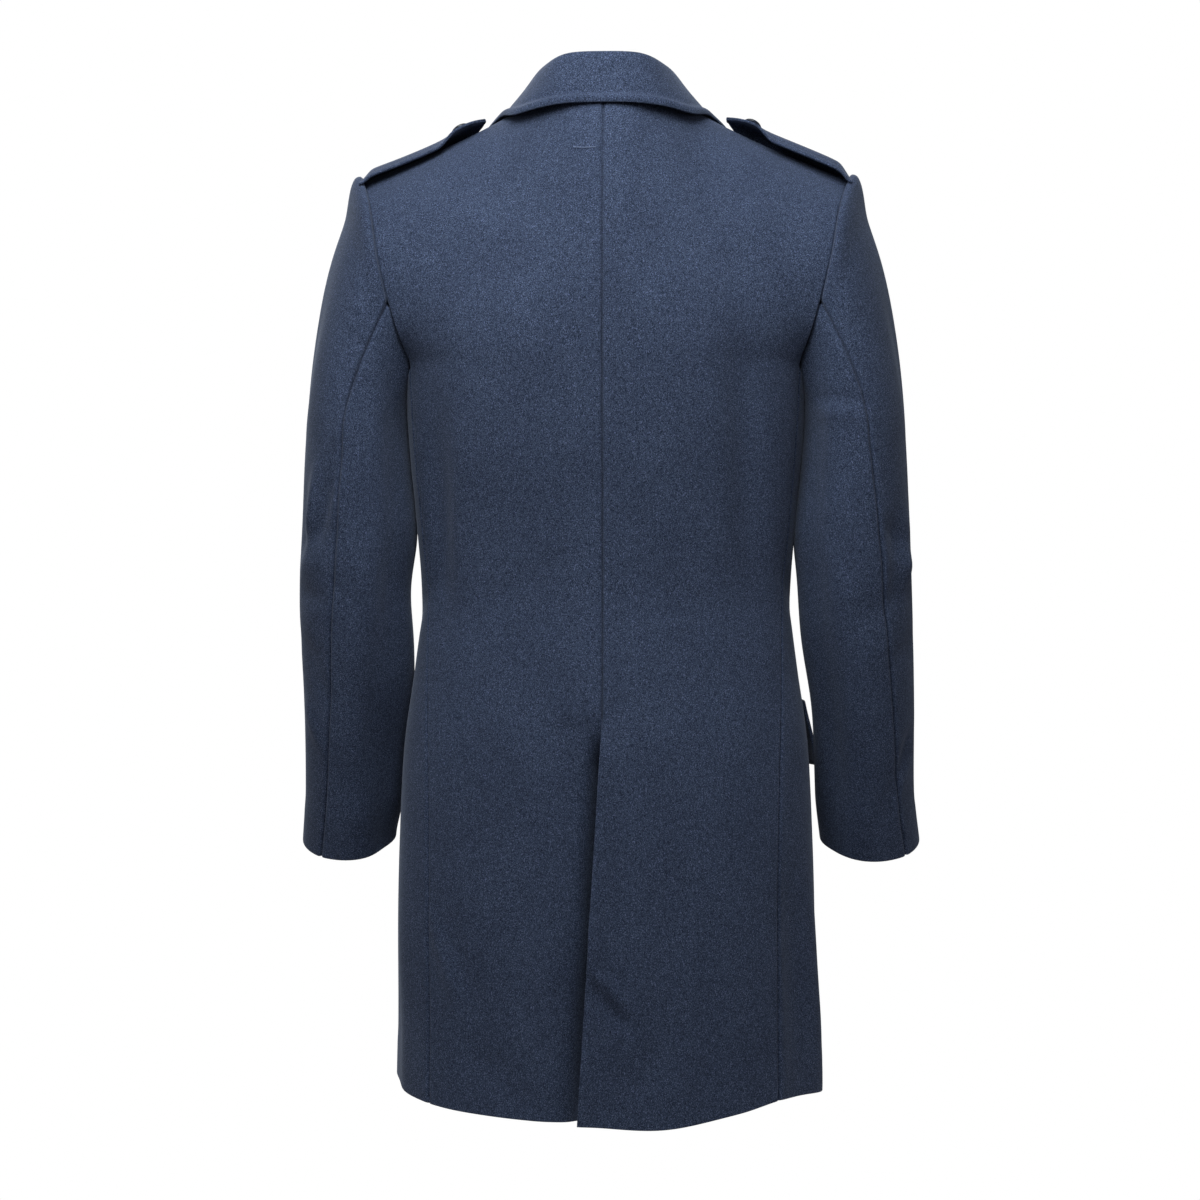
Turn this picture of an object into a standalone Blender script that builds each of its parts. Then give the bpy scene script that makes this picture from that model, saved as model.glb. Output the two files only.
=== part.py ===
"""Double-breasted overcoat, filled out as when it is worn, hollow and with nobody in it.

Metres, +Z up. The front faces -Y, and the wearer's left is +X. The origin is the middle of the
neck opening: on the centre plane, over the shoulder line, level with the seam at the nape.
Each panel is a wall of cloth between named levels and seams, so its surface is a function of a
share across it and a share up it. side is 1 for the wearer's left and -1 for their right.
"""

import math

import bmesh
import bpy
from mathutils import Matrix, Vector

WALL = 0.0024  # coat wool with its lining
DOUBLE_WALL = 0.0032  # collar, lapels, straps and flaps: two layers of the wool
SEAM_GAP = 0.0003
SEAM_SHARE = 0.001  # of a panel's width, left off at each seam
LEFT, RIGHT = 1, -1


def table(columns, *rows):
    """A short table with named columns, as one tuple for each column."""
    return dict(zip(columns.split(), zip(*rows)))


def mix(first, last, share):
    return first + (last - first) * share


def ease(value, start, end):
    """0 before start, 1 after end, and a soft step between them."""
    share = min(max((value - start) / (end - start), 0), 1)
    return share * share * (3 - 2 * share)


def bend(first, leave, last, arrive, share):
    """A curve from first to last that sets out along leave and comes in along arrive."""
    near = (1 + 2 * share) * (1 - share) ** 2
    far = share * share * (3 - 2 * share)
    out = share * (1 - share) ** 2
    back_in = share * share * (share - 1)
    return first * near + last * far + leave * out + arrive * back_in


def through(points, share):
    """A smooth curve through evenly spaced points."""
    at = min(max(share, 0), 1) * (len(points) - 1)
    index = min(int(at), len(points) - 2)
    before, after = max(index - 1, 0), min(index + 2, len(points) - 1)
    leave = (points[index + 1] - points[before]) / (index + 1 - before)
    arrive = (points[after] - points[index]) / (after - index)
    return bend(points[index], leave, points[index + 1], arrive, at - index)


def level(rows, column, at):
    """A column's value where the table's first column, which goes up, is at: a smooth curve."""
    steps, values = next(iter(rows.values())), rows[column]
    at = min(max(at, steps[0]), steps[-1])
    index = max(i for i in range(len(steps) - 1) if steps[i] <= at)
    before, after = max(index - 1, 0), min(index + 2, len(steps) - 1)
    span = steps[index + 1] - steps[index]
    leave = (values[index + 1] - values[before]) / (steps[index + 1] - steps[before]) * span
    arrive = (values[after] - values[index]) / (steps[after] - steps[index]) * span
    return bend(values[index], leave, values[index + 1], arrive, (at - steps[index]) / span)


# The body below the armholes: one row for each level, as half a rounded section. The seam
# columns are angles round it in degrees, 0 at the centre back, 90 at the side, 180 at the front.
BODY = table(
    "height half_width back front squareness back_seam front_seam",
    (-1.000, 0.2120, 0.150, 0.150, 2.30, 50, 116),  # hem
    (-0.860, 0.2090, 0.144, 0.146, 2.30, 51, 116),  # thigh
    (-0.740, 0.2070, 0.136, 0.140, 2.30, 52, 115),  # seat
    (-0.640, 0.2020, 0.126, 0.132, 2.30, 55, 114),  # hip
    (-0.560, 0.1905, 0.114, 0.124, 2.30, 62, 113),  # pocket
    (-0.495, 0.1840, 0.106, 0.119, 2.30, 68, 112),  # waist
    (-0.420, 0.1890, 0.110, 0.122, 2.35, 69, 111),  # ribs
    (-0.340, 0.1965, 0.120, 0.129, 2.40, 68, 110),  # chest
    (-0.240, 0.2030, 0.127, 0.133, 2.40, 67, 110),  # armpit
)

# The largest folds of the hanging cloth, as soft troughs (depth under 0) and ridges. Angles are
# in degrees round the body, with the wearer's right under 0.
FOLDS = table(
    "angle height half_angle half_height depth",
    (56, -0.400, 7, 0.110, -0.0040),  # blade to waist, left
    (-43, -0.350, 7, 0.150, -0.0045),  # blade to waist, right
    (66, -0.900, 9, 0.150, 0.0060),  # flare of the left side
    (-70, -0.910, 9, 0.170, 0.0070),  # flare of the right side
    (33, -0.930, 8, 0.130, -0.0035),  # skirt, left of the vent
    (-30, -0.900, 9, 0.150, -0.0040),  # skirt, right of the vent
    (0, -0.330, 9, 0.170, -0.0030),  # hollow between the blades
)

# Height of the hem round the body, with the wearer's right under 0.
HEM_BACK_SEAM, HEM_FRONT_SEAM = BODY["back_seam"][0], BODY["front_seam"][0]
HEM = table(
    "angle height",
    (-180, -0.986),
    (-90, -0.980),
    (-52, -0.977),
    (-38, -0.986),
    (-20, -0.998),
    (0, -0.994),
    (14, -0.992),
    (36, -0.987),
    (55, -0.985),
    (90, -0.974),
    (180, -0.985),
)
BREAK = -0.285  # height where the lapels begin to turn
OVERLAP = 0.095  # reach of each front past the centre
JOIN = -0.262  # height where the side seams meet the armhole
ARM_DIP = 0.026  # further drop of the armhole under the arm
NAPE = Vector((0, 0.078, 0))
NECK = Vector((0.082, 0.002, -0.003))  # side of the neck, where the shoulder seam begins
SHOULDER = Vector((0.244, 0.010, -0.077))  # end of the shoulder seam
NECK_SHARE = 3 / 8  # of the back's top edge, from the nape to the side of the neck
ARMHOLE_BACK = ((0.2310, 0.055, -0.112), (0.2205, 0.079, -0.165), (0.2050, 0.075, -0.226))
ARMHOLE_FRONT = ((0.2290, -0.040, -0.112), (0.2080, -0.068, -0.170), (0.1960, -0.072, -0.228))
ROLL_LINE = (  # a lapel's fold, from the break to the side of the neck
    (-0.0560, -0.1328, -0.238),
    (-0.0120, -0.1332, -0.186),
    (0.0300, -0.1190, -0.120),
    (0.0610, -0.0830, -0.060),
    (0.0765, -0.0420, -0.022),
)


def body(angle, height):
    """Point on the outside of the body at an angle round it."""
    turn = math.radians(angle)
    sine, cosine = math.sin(turn), math.cos(turn)
    power = level(BODY, "squareness", height)
    reach = (abs(sine) ** power + abs(cosine) ** power) ** (-1 / power)
    depth = level(BODY, "back" if cosine > 0 else "front", height)
    point = Vector((level(BODY, "half_width", height) * reach * sine, depth * reach * cosine))
    fold = 0
    for at, tall, half_angle, half_height, deep in zip(*FOLDS.values()):
        away = ((angle - at) / half_angle) ** 2 + ((height - tall) / half_height) ** 2
        fold += deep * math.exp(-away)
    point *= 1 + fold / point.length
    return Vector((point.x, point.y, height))


def hem(angle):
    """Height of the hem at an angle round the body."""
    return level(HEM, "height", angle)


def angle_at(reach, height):
    """Degrees round the body from the centre line to a point this far to its side."""
    return math.degrees(math.asin(reach / level(BODY, "half_width", height)))


def rising(angle, height):
    """Way up the cloth at a point of the body."""
    step = 0.01
    return (body(angle, height + step) - body(angle, height - step)) / (2 * step)


def mirrored(point, side):
    return Vector((point[0] * side, point[1], point[2]))


def shoulder_seam(share, side):
    """Point of the shoulder seam, from the neck at 0 to the shoulder point at 1."""
    point = NECK.lerp(SHOULDER, share)
    point.z -= 0.004 * math.sin(math.pi * share)
    return mirrored(point, side)


def back_top(share, side):
    """Point of the back's top edge: half the back neck, then the shoulder seam."""
    if share > NECK_SHARE:
        return shoulder_seam((share - NECK_SHARE) / (1 - NECK_SHARE), side)
    turn = share / NECK_SHARE * math.pi / 2
    deep = mix(NECK.y, NAPE.y, math.cos(turn))
    return Vector((NECK.x * math.sin(turn) * side, deep, mix(NAPE.z, NECK.z, 1 - math.cos(turn))))


def seam_join(column, side):
    """Point where a side seam meets the armhole."""
    return body(side * level(BODY, column, JOIN), JOIN)


def armhole_back(share, side):
    """Point of the armhole's back edge, from its side seam at 0 to the shoulder point at 1."""
    way = [SHOULDER, *map(Vector, ARMHOLE_BACK)]
    points = [mirrored(point, side) for point in way] + [seam_join("back_seam", side)]
    return through(points, 1 - share)


def armhole_front(share, side):
    """Point of the armhole's front edge, from its side seam at 0 to the shoulder point at 1."""
    way = [SHOULDER, *map(Vector, ARMHOLE_FRONT)]
    points = [mirrored(point, side) for point in way] + [seam_join("front_seam", side)]
    return through(points, 1 - share)


def back_panel(share, rise, side):
    """Back: share 0 at the centre back, 1 at the side; rise 0 at the hem, 1 at JOIN, 2 on top."""
    if rise <= 1:
        height = mix(hem(side * share * HEM_BACK_SEAM), JOIN, rise)
        start = -vent_reach(side, height)
        return body(side * mix(start, level(BODY, "back_seam", height), share), height)

    def column(share, rise):
        angle = side * share * level(BODY, "back_seam", JOIN)
        over = ease(share, 0.05, NECK_SHARE)
        arrive = Vector((0, mix(-0.10, -0.16, over), mix(0.20, 0.02, over)))
        foot, top = body(angle, JOIN), back_top(share, side)
        return bend(foot, rising(angle, JOIN) * 0.22, top, arrive, rise)

    amount = share ** 2.5
    point = column(share, rise - 1)
    return point + (armhole_back(rise - 1, side) - column(1, rise - 1)) * amount


def side_panel(share, rise, side):
    """Side: share 0 at its back seam, 1 at its front seam; rise 0 at the hem, 1 at the armhole."""
    top = JOIN - ARM_DIP * math.sin(math.pi * share) ** 0.8
    height = mix(hem(side * mix(HEM_BACK_SEAM, HEM_FRONT_SEAM, share)), top, rise)
    start, end = level(BODY, "back_seam", height), level(BODY, "front_seam", height)
    return body(side * mix(start, end, share), height)


def front_edge(height):
    """Angle of a front's free edge, past the centre front."""
    return 180 + angle_at(OVERLAP, height)


def front_panel(share, rise, side):
    """Front: share 0 at the side, 1 at the free edge and roll line; rise as on the back."""
    if rise <= 1:
        height = mix(hem(side * mix(HEM_FRONT_SEAM, 180, share)), mix(JOIN, BREAK, share), rise)
        start = level(BODY, "front_seam", height)
        return body(side * mix(start, front_edge(height), share), height)

    def column(share, rise):
        base = mix(JOIN, BREAK, share)
        angle = side * mix(level(BODY, "front_seam", base), front_edge(base), share)
        arrive = Vector((0, 0.15, 0.02))
        foot, top = body(angle, base), shoulder_seam(1 - share, side)
        return bend(foot, rising(angle, base) * 0.22, top, arrive, rise)

    def roll_line(rise):
        way = [mirrored(body(front_edge(BREAK), BREAK), 1), *map(Vector, ROLL_LINE), NECK]
        return through([mirrored(point, side) for point in way], rise)

    point = column(share, rise - 1)
    point += (armhole_front(rise - 1, side) - column(0, rise - 1)) * (1 - share) ** 2.5
    return point + (roll_line(rise - 1) - column(1, rise - 1)) * share ** 2


# The centre vent: the right back laps over the left, more and more towards the hem.
VENT_TOP = -0.615
VENT_SPREAD = 0.022  # reach of the right back's free edge past the centre at the hem
VENT_UNDER = 0.040  # reach of the left back under it
LAYER = WALL + 0.0016  # how far a lapped layer lies under the one over it
LAPEL_LAYER = WALL + 0.0030  # and where the fronts cross over the chest


def vent_reach(side, height):
    """Degrees that a back reaches past the centre in the vent."""
    if side == RIGHT:
        return angle_at(VENT_SPREAD * max(VENT_TOP - height, 0) / (VENT_TOP - hem(0)), height)
    return angle_at(VENT_UNDER * ease(-height, -VENT_TOP - 0.04, 0.01 - VENT_TOP), height)


def sunk_back(point, side):
    """Depth of the left back's lap under the right back."""
    if side == RIGHT:
        return 0
    return LAYER * ease(-point.z, -VENT_TOP - 0.09, -VENT_TOP - 0.04) * (1 - ease(point.x, 0.03, 0.06))


def sunk_front(point, side):
    """Depth of the right front's lap under the left front."""
    if side == LEFT:
        return 0
    deep = mix(LAYER, LAPEL_LAYER, ease(point.z, -0.40, -0.33))
    return deep * ease(point.x, -0.135, -0.105) * (1 - ease(point.z, -0.12, -0.07))


# Sleeves. seam columns are the angle of the back seam round the sleeve, 0 outside, 90 behind,
# 180 inside and 270 in front. out_right is how much further out the right sleeve hangs.
SLEEVE = table(
    "height out back half_width half_depth lean seam_left seam_right out_right",
    (-0.736, 0.2590, -0.046, 0.0500, 0.058, 15, 57, 46, 0.0060),  # cuff
    (-0.690, 0.2548, -0.032, 0.0500, 0.060, 14, 60, 49, 0.0045),  # wrist
    (-0.600, 0.2512, -0.010, 0.0517, 0.064, 9, 66, 56, 0.0047),  # forearm
    (-0.495, 0.2465, 0.010, 0.0585, 0.068, 3, 70, 60, -0.0010),  # elbow
    (-0.410, 0.2485, 0.009, 0.0535, 0.076, 0, 79, 69, -0.0010),  # upper arm
    (-0.335, 0.2500, 0.005, 0.0490, 0.083, 0, 86, 80, -0.0010),  # biceps
)
SLEEVE_CLEAR = 0.0005
BACK_JOIN, FRONT_JOIN = 122, 238  # angles of the side seams round the armhole
SLEEVE_TOP_SEAM = BACK_JOIN * 2 / 3  # angle of the back seam at the armhole
SLEEVE_FRONT_SEAM = FRONT_JOIN


def armhole(angle, side):
    """Point of the armhole seam at an angle round the sleeve."""
    if angle < BACK_JOIN:
        return armhole_back(1 - angle / BACK_JOIN, side)
    if angle < FRONT_JOIN:
        return side_panel((angle - BACK_JOIN) / (FRONT_JOIN - BACK_JOIN), 1, side)
    return armhole_front((angle - FRONT_JOIN) / (360 - FRONT_JOIN), side)


def sleeve_ring(angle, height, side):
    """Point round the sleeve below the armhole."""
    turn, lean = math.radians(angle), math.radians(level(SLEEVE, "lean", height))
    out = level(SLEEVE, "out", height) + level(SLEEVE, "half_width", height) * math.cos(turn)
    if side == RIGHT:
        out += level(SLEEVE, "out_right", height)
    deep = level(SLEEVE, "half_depth", height) * math.sin(turn)
    return Vector((
        side * (out + SLEEVE_CLEAR),
        level(SLEEVE, "back", height) + deep * math.cos(lean),
        height - deep * math.sin(lean),
    ))


def sleeve(angle, fall, side):
    """Sleeve: fall 0 at the armhole, 1 at the biceps, 2 at the cuff."""
    angle = angle % 360
    cuff, biceps = SLEEVE["height"][0], SLEEVE["height"][-1]
    if fall > 1:
        return sleeve_ring(angle, mix(biceps, cuff, fall - 1), side)
    turn = math.radians(angle)
    head, arm = armhole(angle, side), sleeve_ring(angle, biceps, side)
    head.x += side * SLEEVE_CLEAR
    reach = (arm - head).length
    outward = (0.35 + 0.25 * math.cos(turn)) * side
    leave = Vector((outward, 0.25 * math.sin(turn), -0.8)) * reach * 0.55
    arrive = Vector((0, 0.01 * math.cos(turn), -1)) * reach
    return bend(head, leave, arm, arrive, fall)


def sleeve_seam(fall, side):
    """Angle of the back seam round the sleeve."""
    column = "seam_left" if side == LEFT else "seam_right"
    cuff, biceps = SLEEVE["height"][0], SLEEVE["height"][-1]
    if fall > 1:
        return level(SLEEVE, column, mix(biceps, cuff, fall - 1))
    return mix(SLEEVE_TOP_SEAM, level(SLEEVE, column, biceps), ease(fall, 0, 1))


# Collar: points of its seam to the neck, of the top of its stand and of its fall's outer edge,
# from the centre back at 0 to its front end at 1. The first row mirrors the third.
COLLAR = table(
    "share neck_x neck_y neck_z stand_x stand_y stand_z edge_x edge_y edge_z",
    (-0.20, -0.040, 0.0690, 0.0000, -0.0360, 0.0690, 0.0328, -0.050, 0.0860, -0.0130),
    (0.00, 0.000, 0.0780, 0.0000, 0.0000, 0.0760, 0.0335, 0.000, 0.0940, -0.0120),
    (0.20, 0.040, 0.0690, 0.0000, 0.0360, 0.0690, 0.0328, 0.050, 0.0860, -0.0130),
    (0.40, 0.072, 0.0380, -0.0010, 0.0570, 0.0370, 0.0280, 0.090, 0.0520, -0.0170),
    (0.55, 0.082, 0.0020, -0.0020, 0.0650, 0.0040, 0.0220, 0.108, 0.0060, -0.0125),
    (0.75, 0.0765, -0.0420, -0.0210, 0.0650, -0.0410, -0.0020, 0.130, -0.0340, -0.0330),
    (1.00, 0.061, -0.0830, -0.0585, 0.0590, -0.0830, -0.0500, 0.122, -0.0800, -0.0760),
)
CREST_OUT, CREST_UP = 0.017, 0.038  # how the fall leaves the stand, over its rolled crest


def collar_point(place, share):
    """Point of the collar's neck seam, stand top or edge; share is under 0 on the right."""
    x, y, z = (level(COLLAR, f"{place}_{axis}", abs(share)) for axis in "xyz")
    return Vector((x if share >= 0 else -x, y, z))


def collar_stand(share, rise):
    foot = collar_point("neck", share) + Vector((0, 0, 2 * SEAM_GAP))
    return foot.lerp(collar_point("stand", share), rise)


def collar_fall(share, fall):
    """Collar's visible side: fall 0 where it leaves the stand, 1 at its outer edge."""
    top, edge = collar_point("stand", share), collar_point("edge", share)
    away = Vector((top.x, top.y, 0)).normalized()
    top += Vector((0, 0, 0.0036)) - away * WALL
    leave = away * CREST_OUT + Vector((0, 0, CREST_UP))
    return bend(top, leave, edge, edge - top, fall)


# Lapels: shares of the front that they cover at the peak, and where their ends lie on it.
LAPEL_REACH = 0.50
LAPEL_TOP = 1.60
LAPEL_FOOT = {LEFT: (1.03, 1.03), RIGHT: (1.41, 1.29)}  # at the roll line and the outer edge


def lapel(across, up, side):
    """Point of the front under the lapel: across 0 on the roll line, 1 at the outer edge."""
    foot = mix(*LAPEL_FOOT[side], across)
    rise = mix(foot, LAPEL_TOP, up)
    reach = LAPEL_REACH * ((rise - 1) / (LAPEL_TOP - 1)) ** 0.8
    return front_panel(1 - across * reach, rise, side)


# Pocket flaps, at angles round the body. Their lower edges stand away from it.
FLAP_FRONT, FLAP_BACK = 131, {LEFT: 105, RIGHT: 98}
FLAP_TOP, FLAP_DEPTH = -0.594, 0.068
FLAP_STAND = {LEFT: 0.0020, RIGHT: 0.0023}


def flap(across, up, side):
    """Point of the body under the flap: across 0 at its front end."""
    return body(side * mix(FLAP_FRONT, FLAP_BACK[side], across), FLAP_TOP - FLAP_DEPTH * (1 - up))


# Shoulder straps, from the armhole seam at 0 to their point at 1, and their lift off the shoulder.
STRAP = table(
    "along width lift_left lift_right",
    (0.00, 0.053, 0.0000, 0.0000),
    (0.10, 0.052, 0.0012, 0.0055),
    (0.35, 0.049, 0.0012, 0.0078),
    (0.65, 0.045, 0.0018, 0.0078),
    (0.82, 0.042, 0.0055, 0.0095),  # knee over the button's shank
    (0.90, 0.036, 0.0045, 0.0065),
    (1.00, 0.010, 0.0012, 0.0015),
)
STRAP_OUTER, STRAP_INNER = 0.985, 0.235  # shares of the shoulder seam
STRAP_ARCH, STRAP_TILT = 0.0012, 0.0040  # rise of its middle, fall of its front edge
STRAP_BUTTON = 0.80


def strap(along, across, side):
    """Shoulder strap: along 0 at the armhole, 1 at its point; across 0 behind, 1 in front."""
    point = shoulder_seam(mix(STRAP_OUTER, STRAP_INNER, along), side)
    off = 1 - 2 * across
    point.y += level(STRAP, "width", along) / 2 * off
    point.z += DOUBLE_WALL + 0.0014 + level(STRAP, "lift_left" if side == LEFT else "lift_right", along)
    point.z -= STRAP_ARCH * off * off + STRAP_TILT * across * ease(along, 0, 0.3)
    return point


BUTTON_OUT = 0.070  # from the centre front
BUTTON_HEIGHTS = (-0.315, -0.430, -0.545)
FRONT_BUTTON, STRAP_SIZE = (0.0145, 0.0040), (0.0100, 0.0034)  # radius, thickness
BUTTON_LIFT = 0.0012


# Making cloth from a surface


def facing(surface, across, up):
    """A surface's point and its unit normal."""
    step = 1e-3
    left, right = max(across - step, 0), min(across + step, 1)
    low, high = max(up - step, 0), min(up + step, 1)
    width = surface(right, up) - surface(left, up)
    rise = surface(across, high) - surface(across, low)
    return surface(across, up), width.cross(rise).normalized()


def coloured(name, colour, roughness):
    material = bpy.data.materials.new(name)
    shader = material.node_tree.nodes["Principled BSDF"] if material.use_nodes else None
    if shader is None:
        material.use_nodes = True
        shader = material.node_tree.nodes["Principled BSDF"]
    shader.inputs["Base Color"].default_value = (*colour, 1)
    shader.inputs["Roughness"].default_value = roughness
    shader.inputs["Metallic"].default_value = 0
    return material


def add_object(name, form, material):
    mesh = bpy.data.meshes.new(name)
    form.to_mesh(mesh)
    form.free()
    mesh.materials.append(material)
    mesh.shade_smooth()
    mesh.set_sharp_from_angle(angle=math.radians(35))
    made = bpy.data.objects.new(name, mesh)
    bpy.context.scene.collection.objects.link(made)
    return made


def cloth(name, surface, columns, rows, side, material, wall=WALL, sunk=None, next_piece=None):
    """A wall of cloth whose outside is surface(across, up), both 0 to 1, and which goes inwards.

    On the left side the surface runs so that its normal points out, and on the right the other
    way, because the right pieces mirror the left ones. next_piece is the way to the piece sewn
    to the top edge, towards which that edge may not lean."""
    form = bmesh.new()
    bmesh.ops.create_grid(form, x_segments=columns, y_segments=rows, size=0.5)
    inward = form.verts.layers.float_vector.new("inward")
    for vert in form.verts:
        across, up = vert.co.x + 0.5, vert.co.y + 0.5
        point, normal = facing(surface, across, up)
        normal *= side
        vert.co = point - normal * (sunk(point, side) if sunk else 0)
        edge_in = -normal * wall
        if next_piece and up > 0.999:
            edge_in -= next_piece * max(edge_in.dot(next_piece), 0)
        vert[inward] = edge_in
    lining = bmesh.ops.extrude_face_region(form, geom=form.faces[:])
    for vert in lining["geom"]:
        if isinstance(vert, bmesh.types.BMVert):
            vert.co += vert[inward]
    bmesh.ops.recalc_face_normals(form, faces=form.faces)
    return add_object(name, form, material)


def clear_of_seams(share):
    return SEAM_SHARE + (1 - 2 * SEAM_SHARE) * share


# Pieces


LOWER_ROWS, UPPER_ROWS = 14, 6
BACK_AND_FRONT_ROWS = LOWER_ROWS + UPPER_ROWS


def rise_of(up):
    """Rise of a back or front at a share of its rows, which stand closer above the armhole's foot."""
    row = up * BACK_AND_FRONT_ROWS
    return row / LOWER_ROWS if row < LOWER_ROWS else 1 + (row - LOWER_ROWS) / UPPER_ROWS * 0.998


def make_back(side, name, wool):
    def surface(across, up):
        return back_panel(1 - clear_of_seams(across), rise_of(up), side)

    forwards = Vector((0, -1, 0))
    cloth(f"back_{name}", surface, 8, BACK_AND_FRONT_ROWS, side, wool, WALL, sunk_back, forwards)


def make_side(side, name, wool):
    def surface(across, up):
        return side_panel(1 - clear_of_seams(across), up * 0.9995, side)

    cloth(f"side_{name}", surface, 4, LOWER_ROWS, side, wool)


def make_front(side, name, wool):
    def surface(across, up):
        return front_panel(1 - clear_of_seams(across), rise_of(up), side)

    backwards = Vector((0, 1, 0))
    cloth(f"front_{name}", surface, 9, BACK_AND_FRONT_ROWS, side, wool, WALL, sunk_front, backwards)


def make_sleeve(side, name, wool):
    def top(across, up):
        fall = 2 * (1 - up)
        start, end = SLEEVE_FRONT_SEAM - 360, sleeve_seam(fall, side)
        return sleeve(mix(start, end, clear_of_seams(across)), fall, side)

    def under(across, up):
        fall = 2 * (1 - up)
        start, end = sleeve_seam(fall, side), SLEEVE_FRONT_SEAM
        share = clear_of_seams(across)
        knee = (BACK_JOIN - SLEEVE_TOP_SEAM) / (SLEEVE_FRONT_SEAM - SLEEVE_TOP_SEAM)
        turned = share * 3 * knee if share < 1 / 3 else mix(knee, 1, (share - 1 / 3) * 1.5)
        return sleeve(mix(start, end, turned), fall, side)

    inwards = Vector((-side, 0, 0))
    cloth(f"top_sleeve_{name}", top, 10, 16, side, wool, next_piece=inwards)
    cloth(f"under_sleeve_{name}", under, 6, 16, side, wool, next_piece=inwards)


def make_collar(wool):
    def stand(across, up):
        return collar_stand(1 - 2 * across, up)

    def fall(across, up):
        return collar_fall(1 - 2 * across, (1 - up) ** 2)

    cloth("collar_stand", stand, 20, 2, LEFT, wool)
    cloth("collar_fall", fall, 24, 5, LEFT, wool, DOUBLE_WALL)


def make_lapel(side, name, wool):
    def surface(across, up):
        return lapel(0.004 + 0.996 * across, up, side)

    def raised(point, side):
        return sunk_front(point, side) - DOUBLE_WALL - 0.0008

    cloth(f"lapel_{name}", surface, 5, 9, side, wool, DOUBLE_WALL, raised)


def make_flap(side, name, wool):
    def surface(across, up):
        return flap(across, up, side)

    def raised(point, side):
        stand = FLAP_STAND[side] * ease(FLAP_TOP - point.z, 0, FLAP_DEPTH)
        return -DOUBLE_WALL - 0.0012 - stand

    cloth(f"pocket_flap_{name}", surface, 7, 3, side, wool, DOUBLE_WALL, raised)


def make_strap(side, name, wool):
    def surface(across, up):
        return strap(across, up, side)

    cloth(f"shoulder_strap_{name}", surface, 10, 3, side, wool, DOUBLE_WALL)


def make_button(name, point, normal, size, horn):
    """A turned button with a dished face, lying on the cloth."""
    radius, thickness = size
    form = bmesh.new()
    bmesh.ops.create_cone(
        form, cap_ends=True, segments=16, radius1=radius, radius2=radius, depth=thickness
    )
    front = max(form.faces, key=lambda face: face.calc_center_median().z)
    bmesh.ops.inset_region(form, faces=[front], thickness=radius * 0.12, depth=0)
    bmesh.ops.inset_region(form, faces=[front], thickness=radius * 0.14, depth=-thickness * 0.3)
    made = add_object(name, form, horn)
    turned = normal.to_track_quat("Z", "Y").to_matrix().to_4x4()
    centre = point + normal * (BUTTON_LIFT + thickness / 2)
    made.matrix_world = Matrix.Translation(centre) @ turned


def make_buttons(horn):
    def chest(across, up):
        return body(mix(140, 220, across), mix(-0.6, -0.3, up))

    for row, height in enumerate(BUTTON_HEIGHTS, start=1):
        for name, out in (("left", BUTTON_OUT), ("right", -BUTTON_OUT)):
            turn = 180 - angle_at(out, height)
            point, normal = facing(chest, (turn - 140) / 80, (height + 0.6) / 0.3)
            make_button(f"button_{name}_{row}", point, -normal, FRONT_BUTTON, horn)
    for side, name in ((LEFT, "left"), (RIGHT, "right")):
        point, normal = facing(lambda a, b: strap(a, b, side), STRAP_BUTTON, 0.5)
        make_button(f"strap_button_{name}", point, normal * side, STRAP_SIZE, horn)


def main():
    for old in list(bpy.data.objects):
        bpy.data.objects.remove(old)
    wool = coloured("coat_wool", (0.047, 0.058, 0.098), 0.9)
    horn = coloured("button_horn", (0.012, 0.014, 0.020), 0.35)
    for side, name in ((LEFT, "left"), (RIGHT, "right")):
        make_back(side, name, wool)
        make_side(side, name, wool)
        make_front(side, name, wool)
        make_sleeve(side, name, wool)
        make_lapel(side, name, wool)
        make_flap(side, name, wool)
        make_strap(side, name, wool)
    make_collar(wool)
    make_buttons(horn)


main()
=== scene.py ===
"""Looks of a double-breasted wool overcoat, filled out as when it is worn, with nobody in it.

Metres, +Z up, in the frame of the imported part: the front faces -Y and the wearer's left is +X.
side is 1 for the wearer's left and -1 for their right.
"""

import math

import bmesh
import bpy
from mathutils import Matrix, Vector


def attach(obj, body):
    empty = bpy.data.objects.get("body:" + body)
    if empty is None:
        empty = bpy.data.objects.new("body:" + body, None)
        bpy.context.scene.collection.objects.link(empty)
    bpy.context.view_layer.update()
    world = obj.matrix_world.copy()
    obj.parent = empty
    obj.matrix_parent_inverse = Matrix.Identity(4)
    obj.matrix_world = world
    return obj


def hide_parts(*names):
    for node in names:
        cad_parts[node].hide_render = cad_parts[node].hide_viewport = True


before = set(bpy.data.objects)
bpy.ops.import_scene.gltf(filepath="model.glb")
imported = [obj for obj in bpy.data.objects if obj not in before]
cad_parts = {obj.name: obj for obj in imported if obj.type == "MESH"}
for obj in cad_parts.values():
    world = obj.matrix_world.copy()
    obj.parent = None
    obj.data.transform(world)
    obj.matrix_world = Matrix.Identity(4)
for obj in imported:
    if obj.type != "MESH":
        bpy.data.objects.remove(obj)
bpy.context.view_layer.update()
scene = bpy.context.scene


# The studio: a plain pale floor well below the hem, a white surround and four large soft lamps.
# The strongest hangs high behind the camera, so the coat is palest on its shoulders.
# The camera stands behind the coat, level with its waist and a little to the wearer's right.
LENS, FILM = 85, 36  # mm
CAMERA_AWAY, CAMERA_HEIGHT = 2.833, -0.495
CAMERA_TURN = math.radians(1.72)
COAT_OFF_MIDDLE = 6 / 1200  # of the picture's width, to the right
FLOOR_HEIGHT, FLOOR_SIZE = -1.60, 3.6
SURROUND_GLOW = 0.08  # share of the surround's white that lights the coat


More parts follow.
